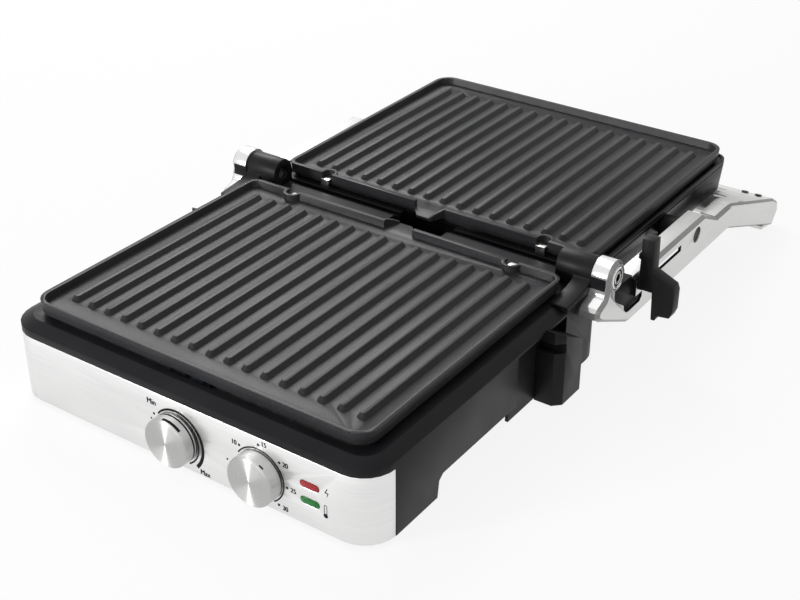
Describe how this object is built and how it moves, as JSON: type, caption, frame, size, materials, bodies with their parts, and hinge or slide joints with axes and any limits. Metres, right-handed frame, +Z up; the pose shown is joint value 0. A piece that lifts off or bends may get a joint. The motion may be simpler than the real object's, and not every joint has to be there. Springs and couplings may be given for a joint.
{
  "type": "contact grill",
  "caption": "Countertop contact grill lying open flat: ribbed plates side by side, brushed steel front with knobs, drip tray, and a floating lid on hinged arms with a cross handle.",
  "frame": {"origin": "middle of the outer box in plan, on the table that the open grill stands on", "axes": "+X to the right as seen from the control side, +Y from the controls back towards the lid and the handle, +Z up"},
  "size_m": [0.4046, 0.5964, 0.0961],
  "materials": {
    "black_plastic": "fine-grained black moulded plastic",
    "coated_casting": "die-cast aluminium with a dark grey non-stick coating",
    "brushed_steel": "brushed along its length",
    "sheet_steel": "plain pressed sheet",
    "bright_steel": "bright plated",
    "element_tube": "dull grey sheath",
    "spun_aluminium": "spun, with fine rings on the face",
    "satin_aluminium": "satin on the flats, polished at the hinge",
    "black_rubber": "dull black",
    "black_screw": "blackened screw",
    "red_lens": "clear-coated red",
    "green_lens": "clear-coated green",
    "circuit_board": "green laminate"
  },
  "bodies": {
    "base": {"base_shell": "black_plastic", "front_panel": "brushed_steel", "base_bottom_cover": "black_plastic", "foot_front_left": "black_rubber", "foot_front_right": "black_rubber", "foot_rear_left": "black_rubber", "foot_rear_right": "black_rubber", "lower_reflector": "sheet_steel", "lower_heating_element": "element_tube", "lower_hook_left": "bright_steel", "lower_hook_right": "bright_steel", "lower_plate_spring": "sheet_steel", "thermostat": "black_plastic", "timer": "black_plastic", "power_lens": "red_lens", "ready_lens": "green_lens", "lamp_board": "circuit_board", "hinge_post_right": "black_plastic", "hinge_post_left": "black_plastic", "hinge_pin_right": "bright_steel", "hinge_pin_left": "bright_steel", "lock_keeper": "black_plastic", "rear_leg_left": "black_plastic", "cord_gland": "black_rubber"},
    "temperature_control": {"temperature_knob": "spun_aluminium", "thermostat_shaft": "bright_steel"},
    "timer_control": {"timer_knob": "spun_aluminium", "timer_shaft": "bright_steel"},
    "lower_grill_plate": {"lower_plate": "coated_casting"},
    "tray": {"drip_tray": "black_plastic"},
    "arms": {"right_arm": "satin_aluminium", "left_arm": "satin_aluminium", "hinge_screw_right": "bright_steel", "hinge_screw_left": "bright_steel", "window_cover_right": "black_plastic", "window_cover_left": "black_plastic", "handle_bar": "satin_aluminium", "handle_screw_right_outer": "black_screw", "handle_screw_right_inner": "black_screw", "handle_screw_left_outer": "black_screw", "handle_screw_left_inner": "black_screw", "pivot_collar_right": "black_plastic", "pivot_collar_left": "black_plastic"},
    "slider": {"lock_slider": "black_plastic"},
    "lid": {"lid_frame": "black_plastic", "lid_cover": "black_plastic", "upper_reflector": "sheet_steel", "upper_heating_element": "element_tube", "upper_hook_right": "bright_steel", "upper_hook_left": "bright_steel", "upper_plate_spring": "sheet_steel", "lid_pivot_right": "bright_steel", "lid_pivot_left": "bright_steel"},
    "upper_grill_plate": {"upper_plate": "coated_casting"}
  },
  "joints": [
    {"name": "arm_hinge", "type": "hinge", "parent": "base", "child": "arms", "pos_m": [-0.00964, -0.00438, 0.0785], "axis": [1, 0, 0], "range_deg": [0, 180]},
    {"name": "lid_tilt", "type": "hinge", "parent": "arms", "child": "lid", "pos_m": [-0.00964, 0.13962, 0.0522], "axis": [-1, 0, 0], "range_deg": [-10, 0]},
    {"name": "lock_slide", "type": "slide", "parent": "arms", "child": "slider", "axis": [0, 1, 0], "range_m": [0, 0.065]},
    {"name": "temperature_turn", "type": "hinge", "parent": "base", "child": "temperature_control", "pos_m": [-0.01124, -0.29489, 0.0267], "axis": [0, 1, 0], "range_deg": [0, 195]},
    {"name": "timer_turn", "type": "hinge", "parent": "base", "child": "timer_control", "pos_m": [0.06196, -0.29489, 0.0267], "axis": [0, 1, 0], "range_deg": [0, 300]},
    {"name": "tray_slide", "type": "slide", "parent": "base", "child": "tray", "axis": [0, 1, 0], "range_m": [0, 0.07]},
    {"name": "lower_plate_tilt", "type": "hinge", "parent": "base", "child": "lower_grill_plate", "pos_m": [-0.00964, -0.02838, 0.0732], "axis": [1, 0, 0], "range_deg": [-20, 0]},
    {"name": "upper_plate_tilt", "type": "hinge", "parent": "lid", "child": "upper_grill_plate", "pos_m": [-0.00964, 0.01962, 0.0715], "axis": [-1, 0, 0], "range_deg": [-20, 0]}
  ]
}
